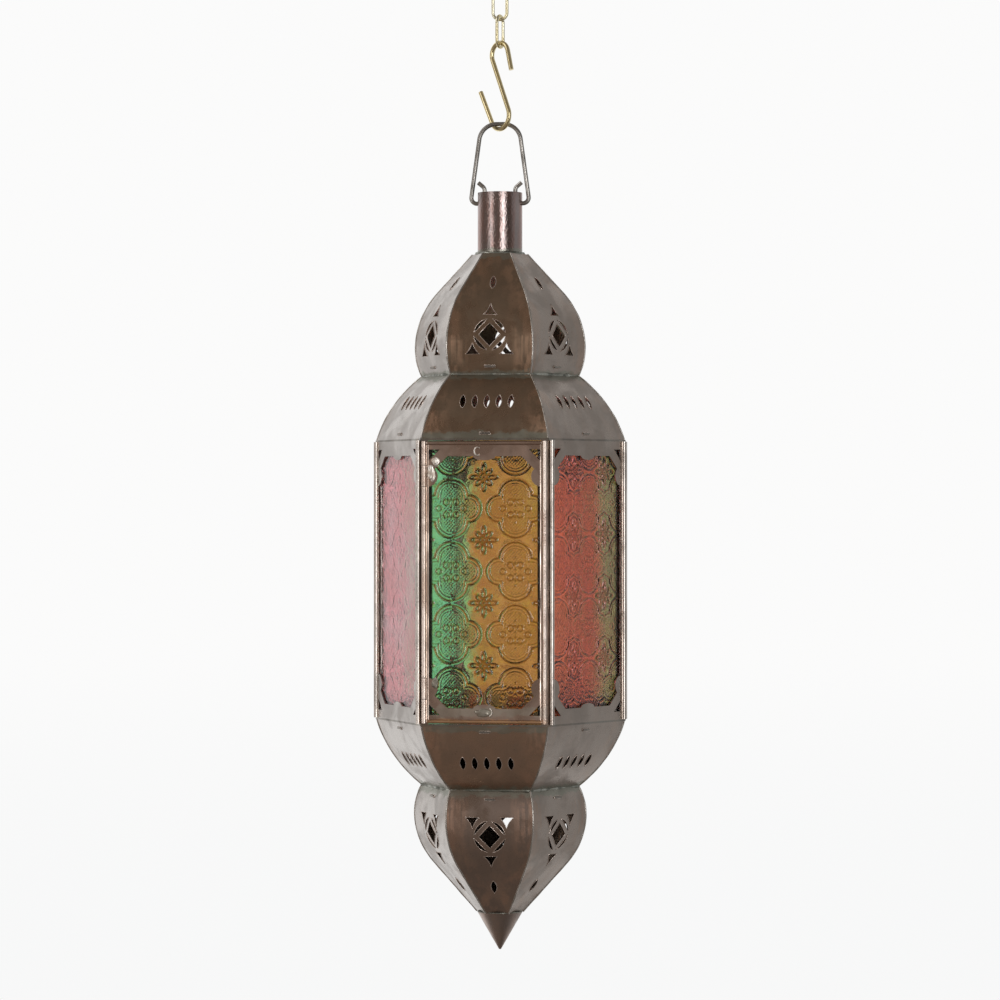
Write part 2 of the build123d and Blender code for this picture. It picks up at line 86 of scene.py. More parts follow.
class Graph:
    """A node tree with short calls that add nodes and join them."""

    def __init__(self, tree: bpy.types.NodeTree) -> None:
        """Keep the tree that the calls work on."""
        self.tree = tree

    def add(self, kind: str, **settings: object) -> Node:
        """Add one node.

        Args:
            kind: Blender's name of the node type.
            settings: Properties of the node.

        Returns:
            The node.
        """
        node = self.tree.nodes.new(kind)
        for name, value in settings.items():
            setattr(node, name, value)
        return node

    def put(self, value: object, socket: Socket) -> None:
        """Join a socket to another, or set its default to a number or a colour.

        Args:
            value: Output socket, number, vector or colour.
            socket: Input socket.
        """
        if isinstance(value, bpy.types.NodeSocket):
            self.tree.links.new(value, socket)
        elif isinstance(value, tuple) and socket.type == "RGBA":
            socket.default_value = (*value, 1.0)
        else:
            socket.default_value = value

    def feed(self, node: Node, values: dict[str, object]) -> None:
        """Put values into a node's inputs, by their names."""
        for label, value in values.items():
            self.put(value, node.inputs[label])

    def math(self, operation: str, *values: object, clamp: bool = False) -> Socket:
        """Add a Math node.

        Args:
            operation: Blender's name of the operation.
            values: Its operands.
            clamp: Whether the result is held between 0 and 1.

        Returns:
            The result.
        """
        node = self.add("ShaderNodeMath", operation=operation, use_clamp=clamp)
        for value, socket in zip(values, node.inputs):
            self.put(value, socket)
        return node.outputs[0]

    def times(self, first: object, second: object) -> Socket:
        """Multiply two values."""
        return self.math("MULTIPLY", first, second)

    def plus(self, first: object, second: object, clamp: bool = False) -> Socket:
        """Add two values, and hold the sum between 0 and 1 where clamp is set."""
        return self.math("ADD", first, second, clamp=clamp)

    def lift(self, value: object, mask: Socket, amount: float) -> Socket:
        """Add an amount to a value where a mask says."""
        return self.plus(value, self.times(mask, amount))

    def split(self, vector: Socket) -> Outputs:
        """Take a vector apart.

        Args:
            vector: Vector to take apart.

        Returns:
            Its X, Y and Z.
        """
        node = self.add("ShaderNodeSeparateXYZ")
        self.put(vector, node.inputs[0])
        return node.outputs

    def fade(self, value: object, start: float, end: float, low: float = 0.0, high: float = 1.0) -> Socket:
        """Map a value smoothly from one range to another.

        Args:
            value: Value to map.
            start: Value that becomes low.
            end: Value that becomes high.
            low: First result.
            high: Last result.

        Returns:
            The mapped value.
        """
        node = self.add("ShaderNodeMapRange", interpolation_type="SMOOTHSTEP")
        for item, socket in zip((value, start, end, low, high), node.inputs):
            self.put(item, socket)
        return node.outputs[0]

    def mix(self, factor: object, first: object, second: object, blend: str = "MIX") -> Socket:
        """Mix two colours.

        Args:
            factor: Share of the second colour.
            first: First colour.
            second: Second colour.
            blend: Way of mixing.

        Returns:
            The mixed colour.
        """
        node = self.add("ShaderNodeMix", data_type="RGBA", blend_type=blend)
        self.put(factor, node.inputs[0])
        self.put(first, node.inputs[6])
        self.put(second, node.inputs[7])
        return node.outputs[2]

    def coat(self, color: object, other: object, mask: Socket, share: float) -> Socket:
        """Lay another colour over a colour where a mask says, up to a share of it."""
        return self.mix(self.times(mask, share), color, other)

    def stretch(self, vector: Socket, rise: float) -> Socket:
        """Scale a place along Z, so that a pattern on it is drawn out upwards.

        Args:
            vector: Place.
            rise: Scale along Z.

        Returns:
            The scaled place.
        """
        node = self.add("ShaderNodeMapping")
        self.feed(node, {"Vector": vector, "Scale": (1.0, 1.0, rise)})
        return node.outputs[0]

    def cloud(self, vector: Socket, scale: object, detail: object, rough: float = 0.55,
              twist: float = 0.0) -> Socket:
        """Add a noise pattern.

        Args:
            vector: Place.
            scale: Number of waves in a metre.
            detail: Finer layers in it.
            rough: Strength of the finer layers.
            twist: Distortion.

        Returns:
            A value around 0.5.
        """
        node = self.add("ShaderNodeTexNoise")
        self.feed(node, {"Vector": vector, "Scale": scale, "Detail": detail, "Roughness": rough,
                         "Distortion": twist})
        return node.outputs[0]


class EffectGroup:
    """A shader node group that several finishes share, built once. It takes a place and some numbers."""

    name = ""
    numbers: dict[str, float] = {}
    outputs: tuple[str, ...] = ()

    @classmethod
    def tree(cls) -> bpy.types.NodeTree:
        """Build the group on its first use.

        Returns:
            The group's node tree.
        """
        made = bpy.data.node_groups.get(cls.name)
        if made:
            return made
        made = bpy.data.node_groups.new(cls.name, "ShaderNodeTree")
        made.interface.new_socket("Place", in_out="INPUT", socket_type="NodeSocketVector")
        for label, default in cls.numbers.items():
            socket = made.interface.new_socket(label, in_out="INPUT", socket_type="NodeSocketFloat")
            socket.default_value = default
        for label in cls.outputs:
            made.interface.new_socket(label, in_out="OUTPUT", socket_type="NodeSocketFloat")
        graph = Graph(made)
        source = graph.add("NodeGroupInput")
        graph.feed(graph.add("NodeGroupOutput"), cls.draw(graph, source.outputs))
        return made

    @classmethod
    def draw(cls, graph: Graph, given: Outputs) -> dict[str, Socket]:
        """Draw the group's nodes.

        Args:
            graph: Tree to draw in.
            given: Sockets of the group's inputs.

        Returns:
            The value of each output.
        """
        raise NotImplementedError

    @classmethod
    def place(cls, graph: Graph, where: Socket, numbers: Optional[dict[str, float]] = None) -> Outputs:
        """Put the group into a material.

        Args:
            graph: The material's tree.
            where: Place on the piece.
            numbers: Values of its other inputs.

        Returns:
            The sockets of its outputs.
        """
        node = graph.add("ShaderNodeGroup", node_tree=cls.tree())
        graph.feed(node, {"Place": where, **(numbers or {})})
        return node.outputs


class FacetPlace(EffectGroup):
    """Where a point lies on the six-sided body."""

    name = "facet_place"
    outputs = ("Across", "Seam")

    @classmethod
    def draw(cls, graph: Graph, given: Outputs) -> dict[str, Socket]:
        """Find the nearest face and measure across it.

        Args:
            graph: Tree to draw in.
            given: Sockets of the group's inputs.

        Returns:
            Distances from the face's middle line and from its nearer seam.
        """
        x, y, _ = graph.split(given["Place"])
        angle = graph.math("ARCTAN2", x, graph.times(y, -1.0))
        turn = graph.math("WRAP", angle, CORNER, -CORNER)
        radius = graph.math("SQRT", graph.plus(graph.times(x, x), graph.times(y, y)))
        side = graph.math("SUBTRACT", CORNER, graph.math("ABSOLUTE", turn))
        return {
            "Across": graph.times(radius, graph.math("SINE", turn)),
            "Seam": graph.times(radius, graph.math("SINE", side)),
        }


class SheetWear(EffectGroup):
    """Clouds, drawn-out streaks, pits and dents of old metal."""

    name = "sheet_wear"
    numbers = {"Cloud Scale": 45.0, "Cloud Detail": 5.0, "Streak Scale": 160.0}
    outputs = ("Cloud", "Streak", "Pit", "Height")
    streak_rise = 0.16
    grit_scale = 1500.0
    dent_scale = 70.0

    @classmethod
    def draw(cls, graph: Graph, given: Outputs) -> dict[str, Socket]:
        """Layer noise of several sizes.

        Args:
            graph: Tree to draw in.
            given: Sockets of the group's inputs.

        Returns:
            Masks between 0 and 1, and the height of the dents.
        """
        place = given["Place"]
        cloud = graph.cloud(place, given["Cloud Scale"], given["Cloud Detail"], 0.6, 0.4)
        streak = graph.cloud(graph.stretch(place, cls.streak_rise), given["Streak Scale"], 4.0, 0.6)
        grit = graph.cloud(place, cls.grit_scale, 3.0, 0.6)
        dent = graph.cloud(place, cls.dent_scale, 2.0, 0.4)
        height = graph.lift(graph.times(dent, 0.7), grit, 0.06)
        return {
            "Cloud": graph.fade(cloud, 0.36, 0.66),
            "Streak": graph.fade(streak, 0.42, 0.64),
            "Pit": graph.fade(grit, 0.62, 0.74),
            "Height": graph.lift(height, streak, 0.08),
        }


class LevelBand(EffectGroup):
    """A ragged band round the lantern at one level."""

    name = "level_band"
    numbers = {"Level": 0.0, "Width": 0.004}
    outputs = ("Band",)
    ragged_scale = 170.0
    ragged_share = 3.4

    @classmethod
    def draw(cls, graph: Graph, given: Outputs) -> dict[str, Socket]:
        """Fade out from the level, with a ragged edge.

        Args:
            graph: Tree to draw in.
            given: Sockets of the group's inputs.

        Returns:
            The band as a mask.
        """
        level = graph.split(given["Place"])[2]
        away = graph.math("ABSOLUTE", graph.math("SUBTRACT", level, given["Level"]))
        ragged = graph.math("SUBTRACT", graph.cloud(given["Place"], cls.ragged_scale, 4.0, 0.65), 0.5)
        share = graph.lift(graph.math("DIVIDE", away, given["Width"]), ragged, cls.ragged_share)
        return {"Band": graph.fade(share, 1.15, 0.55)}

    @classmethod
    def mask(cls, graph: Graph, where: Socket, level: float, width: float) -> Socket:
        """Give the band's mask, from its level and width in millimetres."""
        return cls.place(graph, where, {"Level": level * MM, "Width": width * MM})["Band"]


def start_material(name: str) -> tuple[Material, Graph, Node, Socket]:
    """Start a material with its shader and its Object coordinates.

    Args:
        name: Name of the material.

    Returns:
        The material, its tree, its Principled shader and the place on the piece.
    """
    material = bpy.data.materials.new(name)
    material.use_nodes = True
    graph = Graph(material.node_tree)
    shader = material.node_tree.nodes["Principled BSDF"]
    return material, graph, shader, graph.add("ShaderNodeTexCoord").outputs["Object"]


def add_bump(graph: Graph, height: Socket, shader: Node, strength: float, depth: float) -> None:
    """Join a height to a shader's normal.

    Args:
        graph: The material's tree.
        height: Height pattern.
        shader: The Principled shader.
        strength: Share of the bump that shows.
        depth: Depth of the pattern, in metres.
    """
    bump = graph.add("ShaderNodeBump")
    graph.feed(bump, {"Strength": strength, "Distance": depth, "Height": height})
    graph.put(bump.outputs[0], shader.inputs["Normal"])


@dataclass(frozen=True)
class Haze:
    """A ragged band of another colour round the sheet, at a level and of a width in millimetres."""

    level: float
    width: float
    color: Color
    share: float


@dataclass(frozen=True)
class PatinaFinish:
    """Antique sheet metal with clouds of tarnish, warm streaks that turn into painted sheen near the seams, a
    painted coppery sheen on the curved panels, and hazy solder bands.

    The reaches are distances from a seam, in metres, between which an effect sets in.
    """

    pit_dark: ClassVar[Color] = (0.03, 0.025, 0.02)
    frame_polish: ClassVar[Color] = (0.72, 0.66, 0.61)
    seam_sheen_reach: ClassVar[Span] = (0.011, 0.001)
    sheen_reach: ClassVar[Span] = (0.014, 0.002)
    bead_reach: ClassVar[Span] = (0.0046, 0.0034)
    sheen_streak_rise: ClassVar[float] = 0.06
    sheen_streak_scale: ClassVar[float] = 520.0
    grain_scale: ClassVar[float] = 1000.0
    bump_share: ClassVar[float] = 0.35

    name: str
    metal: Color
    tarnish: Color
    warm: Color
    warm_share: float = 0.6
    bands: tuple[Haze, ...] = ()
    painted_sheen: tuple[Span, ...] = ()
    polish: Optional[Color] = None
    smooth: float = 0.24
    dull: float = 0.42
    dent: float = 0.0012
    grain: float = 0.0

    def framed(self) -> "PatinaFinish":
        """Give the same sheet for a pane's frame, with polished beads and without solder."""
        return replace(self, name=f"{self.name}_frame", bands=(), painted_sheen=(), polish=self.frame_polish)

    def material(self) -> Material:
        """Build the finish.

        Returns:
            The material.
        """
        material, graph, shader, place = start_material(self.name)
        wear = SheetWear.place(graph, place)
        seam = FacetPlace.place(graph, place)["Seam"]
        color = graph.mix(wear["Cloud"], self.tarnish, self.metal)
        # The warm streaks are copper tone across the sheet and, stronger near the seams, painted sheen where
        # the curved panels catch the light.
        tone_and_seam_sheen = graph.plus(graph.fade(seam, *self.seam_sheen_reach), 0.25, clamp=True)
        color = graph.coat(color, self.warm, graph.times(wear["Streak"], tone_and_seam_sheen), self.warm_share)
        rough = graph.fade(wear["Cloud"], 0.0, 1.0, self.dull, self.smooth)
        height = wear["Height"]
        pit = wear["Pit"]
        if self.grain:
            height = graph.lift(height, graph.cloud(place, self.grain_scale, 2.0), self.grain)
        for haze in self.bands:
            band = LevelBand.mask(graph, place, haze.level, haze.width)
            color = graph.coat(color, haze.color, band, haze.share)
            rough = graph.lift(rough, band, 0.08)
        # Painted sheen: a streaked coppery band near the seams at each level, where the curved panels catch
        # the light.
        for level, width in self.painted_sheen:
            band = LevelBand.mask(graph, place, level, width)
            band = graph.times(band, graph.fade(seam, *self.sheen_reach))
            sheen_streak = graph.cloud(graph.stretch(place, self.sheen_streak_rise), self.sheen_streak_scale, 3.0)
            sheen_mask = graph.times(band, graph.fade(sheen_streak, 0.36, 0.66))
            color = graph.coat(color, self.warm, sheen_mask, 0.62)
            rough = graph.lift(rough, sheen_mask, 0.1)
        if self.polish:
            bead = graph.fade(seam, *self.bead_reach)
            rubbed = graph.times(bead, graph.plus(wear["Cloud"], 0.45, clamp=True))
            color = graph.mix(rubbed, color, self.polish)
            rough = graph.lift(rough, bead, -0.15)
            flat = graph.fade(bead, 0.0, 1.0, 1.0, 0.12)
            height = graph.times(height, flat)
            pit = graph.times(pit, flat)
        color = graph.coat(color, self.pit_dark, pit, 0.55)
        rough = graph.lift(rough, pit, 0.2)
        graph.feed(shader, {"Base Color": color, "Roughness": rough, "Metallic": 1.0})
        add_bump(graph, height, shader, self.bump_share, self.dent)
        return material


SOLDER_GREY = (0.30, 0.31, 0.26)
WARM_GREY = (0.38, 0.35, 0.29)
BARE_COPPER = (0.64, 0.36, 0.17)
SMEARS = (
    Haze(-212.6, 2.6, SOLDER_GREY, 0.7),
    Haze(-437.2, 3.0, SOLDER_GREY, 0.7),
    Haze(-146.0, 2.4, SOLDER_GREY, 0.6),
    Haze(-245.6, 2.6, SOLDER_GREY, 0.8),
    Haze(-402.4, 1.8, SOLDER_GREY, 0.7),
)
# Levels and widths, in millimetres, of the painted coppery sheen near the seams.
PAINTED_SHEEN_BANDS = ((-200.0, 12.0), (-452.0, 10.0), (-239.0, 6.0), (-409.0, 7.0))


class LitSheetTone(Enum):
    """Paler and darker copies of one antique sheet, given to the faces as painted light: each tone stands for
    how bright a face looks under the studio's light.
    """

    BROWN = PatinaFinish("brown_sheet", metal=(0.33, 0.235, 0.165), tarnish=(0.25, 0.185, 0.13),
                         warm=(0.58, 0.37, 0.25), warm_share=0.45, bands=SMEARS, painted_sheen=PAINTED_SHEEN_BANDS)
    RUSSET = PatinaFinish("russet_sheet", metal=(0.47, 0.335, 0.25), tarnish=(0.36, 0.26, 0.195),
                          warm=(0.60, 0.38, 0.27), warm_share=0.45, bands=SMEARS, painted_sheen=PAINTED_SHEEN_BANDS)
    PLUM = PatinaFinish("plum_sheet", metal=(0.37, 0.285, 0.235), tarnish=(0.29, 0.225, 0.19),
                        warm=(0.58, 0.37, 0.27), warm_share=0.45, bands=SMEARS, painted_sheen=PAINTED_SHEEN_BANDS)
    TAUPE = PatinaFinish("taupe_sheet", metal=(0.40, 0.345, 0.305), tarnish=(0.33, 0.285, 0.25),
                         warm=(0.44, 0.32, 0.25), warm_share=0.4, bands=SMEARS[:2], painted_sheen=PAINTED_SHEEN_BANDS[:2])
    PALE = PatinaFinish("pale_sheet", metal=(0.50, 0.465, 0.435), tarnish=(0.43, 0.40, 0.375),
                        warm=(0.46, 0.38, 0.33), warm_share=0.3, bands=SMEARS[:2])


# Painted light: the door's face is a darker brown, the front-left face pale and the front-right face taupe,
# as light falls on them; the back faces reuse these copies.
LIT_TONES = {
    Face.DOOR: LitSheetTone.BROWN,
    Face.FRONT_RIGHT: LitSheetTone.TAUPE,
    Face.BACK_RIGHT: LitSheetTone.BROWN,
    Face.BACK: LitSheetTone.TAUPE,
    Face.BACK_LEFT: LitSheetTone.BROWN,
    Face.FRONT_LEFT: LitSheetTone.PALE,
}
# Painted reflection: on the door's face the skirt and finial panels take paler copies, standing for the pale
# floor that their downturned faces show.
DOOR_LOWER_LIT_TONES = {"skirt_panel": LitSheetTone.RUSSET, "finial_petal": LitSheetTone.PLUM}

PLATE_SHEET = PatinaFinish("plate_sheet", metal=(0.30, 0.28, 0.25), tarnish=(0.20, 0.18, 0.16),
                           warm=(0.36, 0.28, 0.22))
DOOR_SHEET = PatinaFinish("door_sheet", metal=(0.47, 0.345, 0.28), tarnish=(0.37, 0.27, 0.22),
                          warm=(0.60, 0.38, 0.26), polish=(0.84, 0.72, 0.64),
                          bands=(Haze(-398.6, 1.7, BARE_COPPER, 0.65), Haze(-392.5, 3.2, WARM_GREY, 0.6)))
NECK_SHEET = PatinaFinish("neck_sheet", metal=(0.39, 0.33, 0.32), tarnish=(0.30, 0.255, 0.245),
                          warm=(0.42, 0.24, 0.20), bands=(Haze(-144.5, 2.0, SOLDER_GREY, 0.7),),
                          smooth=0.14, dull=0.24, grain=0.38)
CONE_SHEET = PatinaFinish("cone_sheet", metal=(0.40, 0.32, 0.28), tarnish=(0.32, 0.26, 0.23),
                          warm=(0.46, 0.32, 0.25), warm_share=0.3)
CUP_SHEET = PatinaFinish("cup_sheet", metal=(0.48, 0.38, 0.22), tarnish=(0.34, 0.26, 0.15),
                         warm=(0.55, 0.36, 0.20))
SINGLE_SHEETS = {
    "upper_waist_plate": PLATE_SHEET,
    "top_plate": PLATE_SHEET,
    "bottom_plate": PLATE_SHEET,
    "lower_waist_plate": PLATE_SHEET,
    "door_frame": DOOR_SHEET,
    "hinge_knuckles": DOOR_SHEET,
    "neck_tube": NECK_SHEET,
    "tip_cone": CONE_SHEET,
    "candle_cup": CUP_SHEET,
}


@dataclass(frozen=True)
class WireFinish:
    """Drawn wire or solder, with dull blotches and fine scratches."""

    pit_dark: ClassVar[Color] = (0.05, 0.045, 0.04)
    scratch_scale: ClassVar[float] = 700.0
    bump_share: ClassVar[float] = 0.25

    name: str
    bright: Color
    dull: Color
    smooth: float = 0.2
    worn: float = 0.45
    scale: float = 120.0
    pitted: float = 0.2
    dent: float = 0.0003
    detail: float = 5.0
    scratch: float = 0.2

    def material(self) -> Material:
        """Build the finish.

        Returns:
            The material.
        """
        material, graph, shader, place = start_material(self.name)
        wear = SheetWear.place(graph, place, {"Cloud Scale": self.scale, "Cloud Detail": self.detail,
                                              "Streak Scale": self.scratch_scale})
        color = graph.mix(wear["Cloud"], self.dull, self.bright)
        color = graph.coat(color, self.dull, wear["Streak"], self.scratch)
        color = graph.coat(color, self.pit_dark, wear["Pit"], self.pitted)
        rough = graph.fade(wear["Cloud"], 0.0, 1.0, self.worn, self.smooth)
        graph.feed(shader, {"Base Color": color, "Roughness": rough, "Metallic": 1.0})
        add_bump(graph, wear["Height"], shader, self.bump_share, self.dent)
        return material


class Wire(Enum):
    """The kinds of wire and solder on the lantern."""

    CHAIN = WireFinish("chain_brass", (0.98, 0.94, 0.72), (0.92, 0.82, 0.52), worn=0.3, scale=90.0,
                       pitted=0.0, dent=0.00002, detail=0.5, scratch=0.06)
    HOOK = WireFinish("hook_brass", (0.97, 0.84, 0.50), (0.74, 0.63, 0.36), smooth=0.16, worn=0.3, scale=60.0,
                      pitted=0.0, dent=0.00002, detail=0.5, scratch=0.06)
    BAIL = WireFinish("bail_wire", (0.50, 0.48, 0.45), (0.26, 0.245, 0.225), worn=0.38, scale=90.0,
                      pitted=0.02, dent=0.00003, detail=0.5, scratch=0.08)
    SEAM = WireFinish("seam_solder", (0.66, 0.62, 0.58), (0.36, 0.33, 0.29), smooth=0.22, worn=0.5)
    SMEAR = WireFinish("waist_solder", (0.44, 0.44, 0.39), (0.17, 0.175, 0.15), smooth=0.26, worn=0.5,
                       scale=130.0, pitted=0.4, dent=0.0012)
    RIM = WireFinish("cut_rim", (0.86, 0.76, 0.70), (0.46, 0.36, 0.30), scale=500.0)
    DOOR_BRIGHT = WireFinish("door_solder", (0.90, 0.86, 0.80), (0.66, 0.58, 0.50), smooth=0.3, worn=0.5,
                             scale=250.0)
    DOOR_DULL = WireFinish("door_smear", (0.46, 0.42, 0.36), (0.30, 0.28, 0.23), smooth=0.34, worn=0.55,
                           scale=250.0)


HANGERS = (
    ("chain_link_upper", "upper_link", Wire.CHAIN),
    ("chain_link_lower", "lower_link", Wire.CHAIN),
    ("s_hook", "hook", Wire.HOOK),
    ("bail", "bail", Wire.BAIL),
)


@dataclass(frozen=True)
class GlassFinish:
    """Tinted pressed glass with streaks of a second tint, a third that runs in from one side, and a painted
    shadow along its side edges.

    The side's start and end are distances from the pane's middle line, in millimetres.
    """

    edge_painted_shadow: ClassVar[Color] = (0.02, 0.015, 0.012)
    edge_shadow_reach: ClassVar[Span] = (0.0279, 0.0288)
    flow_rise: ClassVar[float] = 0.4
    flow_scale: ClassVar[float] = 38.0
    wander: ClassVar[float] = 0.016
    roughness: ClassVar[float] = 0.05
    ripple_scale: ClassVar[float] = 260.0
    ripple_depth: ClassVar[float] = 0.0008

    name: str
    tint: Color
    streak: Color
    side: Optional[Color] = None
    side_start: float = 0.0
    side_end: float = 0.0
    fleck: Optional[Color] = None
    depth: float = 1.0
    shade: float = 0.5

    def material(self) -> Material:
        """Build the finish.

        Returns:
            The material.
        """
        material, graph, shader, place = start_material(self.name)
        drawn = graph.stretch(place, self.flow_rise)
        flow = graph.fade(graph.cloud(drawn, self.flow_scale, 3.0, 0.5, 0.8), 0.4, 0.7)
        color = graph.mix(flow, self.tint, self.streak)
        across = FacetPlace.place(graph, place)["Across"]
        relief = graph.add("ShaderNodeAttribute", attribute_name=RELIEF_SHARE).outputs["Fac"]
        lines = graph.fade(relief, 0.05, 0.65)
        if self.side:
            drift = graph.math("SUBTRACT", graph.cloud(place, 55.0, 3.0), 0.5)
            line = graph.lift(across, drift, self.wander)
            share = graph.fade(line, self.side_start * MM, self.side_end * MM)
            share = graph.times(share, graph.fade(lines, 0.0, 1.0, 1.0, 0.15))
            color = graph.mix(share, color, self.side)
        if self.fleck:
            spots = graph.fade(graph.cloud(place, 520.0, 2.0, 0.5, 1.5), 0.55, 0.64)
            color = graph.coat(color, self.fleck, spots, 0.6)
        thick = tuple(self.shade * channel ** self.depth for channel in self.tint)
        color = graph.mix(lines, color, graph.mix(1.0, color, thick, "MULTIPLY"))
        # Painted shadow: a dark line along the side edges, where the gap between glass and frame lies in
        # shade.
        edge = graph.fade(graph.math("ABSOLUTE", across), *self.edge_shadow_reach)
        color = graph.mix(edge, color, self.edge_painted_shadow)
        ripple = graph.cloud(place, self.ripple_scale, 3.0, 0.5)
        rough = graph.fade(ripple, 0.3, 0.8, self.roughness * 0.5, self.roughness * 1.6)
        graph.feed(shader, {"Base Color": color, "Roughness": rough, "Transmission Weight": 1.0, "IOR": 1.5})
        add_bump(graph, ripple, shader, 0.2, self.ripple_depth)
        return material


class Glass(Enum):
    """The tints of the panes."""

    AMBER = GlassFinish("amber_glass", (0.77, 0.64, 0.40), (0.70, 0.54, 0.30), side=(0.60, 0.92, 0.68),
                        side_start=-5.0, side_end=-16.0, fleck=(0.80, 0.76, 0.18), depth=2.0, shade=0.6)
    RED = GlassFinish("red_glass", (0.99, 0.31, 0.31), (0.96, 0.38, 0.34), side=(0.80, 0.58, 0.52),
                      side_start=6.0, side_end=18.0, depth=0.2)
    GREEN = GlassFinish("green_glass", (0.26, 0.39, 0.16), (0.33, 0.37, 0.14), side=(0.55, 0.30, 0.13),
                        side_start=-10.0, side_end=0.0)
    ORANGE = GlassFinish("orange_glass", (0.57, 0.31, 0.12), (0.52, 0.36, 0.12), side=(0.32, 0.56, 0.32),
                         side_start=20.0, side_end=27.0, shade=0.6)
    EMERALD = GlassFinish("emerald_glass", (0.29, 0.62, 0.43), (0.34, 0.60, 0.34), side=(0.60, 0.44, 0.46),
                          side_start=2.0, side_end=12.0, shade=0.6)
    ROSE = GlassFinish("rose_glass", (0.98, 0.38, 0.42), (0.94, 0.54, 0.60), depth=0.1, shade=1.0)


def deselect() -> None:
    """Leave nothing selected, so that an operator acts on the new piece alone."""
    bpy.ops.object.select_all(action="DESELECT")


def pick(piece: Object) -> None:
    """Select one piece alone and make it active.

    Args:
        piece: Piece to select.
    """
    deselect()
    piece.select_set(True)
    bpy.context.view_layer.objects.active = piece


@contextmanager
def editing(piece: Object, everything: bool = True) -> Iterator[None]:
    """Hold one piece in edit mode for a with block.

    Args:
        piece: Piece to edit.
        everything: Whether all of it is selected first.

    Returns:
        The manager of the block.
    """
    pick(piece)
    bpy.ops.object.mode_set(mode="EDIT")
    if everything:
        bpy.ops.mesh.select_all(action="SELECT")
    yield
    bpy.ops.object.mode_set(mode="OBJECT")


def face_outwards(piece: Object) -> None:
    """Turn a closed piece's faces outwards, and shade it smooth up to its edges.

    Args:
        piece: Closed piece.
    """
    with editing(piece):
        bpy.ops.mesh.normals_make_consistent(inside=False)
    bpy.ops.object.shade_smooth_by_angle(angle=SMOOTH_ANGLE)


def turn_copy(piece: Object, angle: float) -> Object:
    """Copy a piece about the lantern's axis, with a mesh of its own.

    Args:
        piece: Piece to copy.
        angle: Turn about the axis, in radians.

    Returns:
        The copy.
    """
    copy = piece.copy()
    copy.data = piece.data.copy()
    bpy.context.collection.objects.link(copy)
    copy.data.transform(Matrix.Rotation(angle, 4, "Z"))
    return copy


def join(pieces: list[Object], name: str) -> Object:
    """Join pieces into one object.

    Args:
        pieces: Pieces to join.
        name: Name of the joined piece.

    Returns:
        The joined piece.
    """
    pick(pieces[0])
    for piece in pieces:
        piece.select_set(True)
    bpy.ops.object.join()
    pieces[0].name = pieces[0].data.name = name
    return pieces[0]


def settle(piece: Object, body: str, material: Material, stands_for: Optional[str] = None) -> None:
    """Give a finished piece its material and its body, and log it.

    Args:
        piece: Finished piece.
        body: Body that it rides on.
        material: Its finish.
        stands_for: CAD node that it replaces.
    """
    piece.data.materials.clear()
    piece.data.materials.append(material)
    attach(piece, body)
    if stands_for:
        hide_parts(stands_for)
    log.info("%s rides on %s, %d faces", piece.name, body, len(piece.data.polygons))


def dress_node(node: str, material: Material) -> None:
    """Give a CAD node a finish.

    Args:
        node: Name of the node.
        material: Its finish.
    """
    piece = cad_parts[node]
    piece.data.materials.clear()
    piece.data.materials.append(material)
    log.info("%s wears %s", node, material.name)


def borrow_mesh(node: str) -> Object:
    """Start a piece on a copy of a CAD node's mesh, with its loose triangles merged.

    Args:
        node: Name of the CAD node.

    Returns:
        The new piece.
    """
    deselect()
    bpy.ops.mesh.primitive_plane_add()
    piece = bpy.context.object
    piece.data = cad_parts[node].data.copy()
    pick(piece)
    bpy.ops.mesh.customdata_custom_splitnormals_clear()
    with editing(piece):
        bpy.ops.mesh.remove_doubles(threshold=MERGE_DISTANCE)
    return piece


def smooth_copy(node: str, body: str, material: Material) -> None:
    """Stand a smooth copy in for a wire's faceted CAD node.

    Args:
        node: Name of the CAD node.
        body: Body that it rides on.
        material: Its finish.
    """
    piece = borrow_mesh(node)
    piece.name = piece.data.name = f"smooth_{node}"
    with editing(piece):
        bpy.ops.mesh.tris_convert_to_quads()
    face_outwards(piece)
    settle(piece, body, material, node)


def around(turn: float, reach: float, level: float) -> Point:
    """Give a point in metres, from its turn from the door, and its reach and level in millimetres."""
    return reach * math.sin(turn) * MM, -reach * math.cos(turn) * MM, level * MM


def draw_bead(name: str, points: list[Point], radius: float, swell: float, closed: bool = False,
              pitch: float = 6.0) -> Object:
    """Lay an uneven bead along a line.

    Args:
        name: Name of the bead.
        points: Points of the line, in metres.
        radius: Mean radius of the bead, in millimetres.
        swell: Share by which its radius varies.
        closed: Whether the line is a loop.
        pitch: Length over which the radius varies, in millimetres.

    Returns:
        The bead as a mesh.
    """
    deselect()
    bpy.ops.curve.primitive_nurbs_path_add()
    piece = bpy.context.object
    curve = piece.data
    curve.splines.clear()
    spline = curve.splines.new("POLY")
    spline.points.add(len(points) - 1)
    for item, point in zip(spline.points, points):
        item.co = (*point, 1.0)
        item.radius = 1.0 + swell * noise.noise(Vector(point) / (pitch * MM))
    spline.use_cyclic_u = closed
    curve.bevel_depth = radius * MM
    curve.bevel_resolution = 2
    curve.use_fill_caps = not closed
    bpy.ops.object.convert(target="MESH")
    bpy.ops.object.shade_smooth()
    piece.name = piece.data.name = name
    return piece


